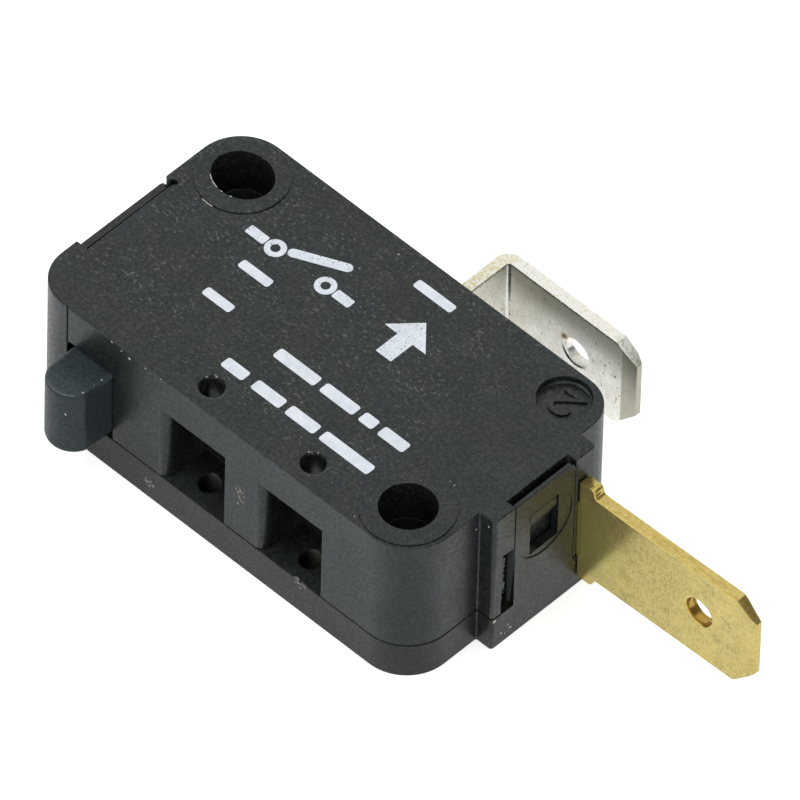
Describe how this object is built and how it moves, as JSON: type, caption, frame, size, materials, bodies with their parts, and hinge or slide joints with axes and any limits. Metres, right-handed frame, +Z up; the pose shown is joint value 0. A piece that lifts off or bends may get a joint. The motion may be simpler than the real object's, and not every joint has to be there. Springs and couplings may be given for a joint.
{
  "type": "micro switch",
  "caption": "Snap-action micro switch in a flat black housing with diagonal mounting holes, a sprung round-nosed plunger, lever pockets, a straight brass tab and a bent plated tab.",
  "frame": {"origin": "midway between the two mounting holes, on the underside of the cover", "axes": "+X along the housing towards the end terminal, +Y from the plunger side to the back, +Z up through the housing's thickness"},
  "size_m": [0.0417, 0.024, 0.0104],
  "materials": {
    "casing_plastic": "fine speckled matte, glass-filled",
    "cover_plastic": "matte",
    "plunger_plastic": "satin",
    "spring_steel": "drawn wire",
    "arm_bronze": "rolled",
    "contact_metal": "smooth",
    "plated_strip": "tin-plated satin",
    "brass_strip": "rolled, lightly rubbed"
  },
  "bodies": {
    "housing": {"casing": "casing_plastic", "cover": "cover_plastic", "common_terminal": "plated_strip", "contact_terminal": "brass_strip", "fixed_contact": "contact_metal"},
    "button": {"plunger": "plunger_plastic", "return_spring": "spring_steel"},
    "arm": {"contact_arm": "arm_bronze", "moving_contact": "contact_metal", "snap_spring": "spring_steel"}
  },
  "joints": [
    {"name": "plunger_press", "type": "slide", "parent": "housing", "child": "button", "axis": [0, 1, 0], "range_m": [0, 0.0022], "stiffness_N_per_m": 600, "springref_m": -0.002, "deforming": ["return_spring", "snap_spring"]},
    {"name": "arm_swing", "type": "hinge", "parent": "housing", "child": "arm", "pos_m": [-0.00572, 0.0009, 0.0046], "axis": [0, 0, 1], "range_deg": [0, 4.7], "deforming": ["snap_spring"]}
  ],
  "couplings": [
    {"joint": "arm_swing", "follows": "plunger_press", "rad_per_m": 37.28}
  ]
}
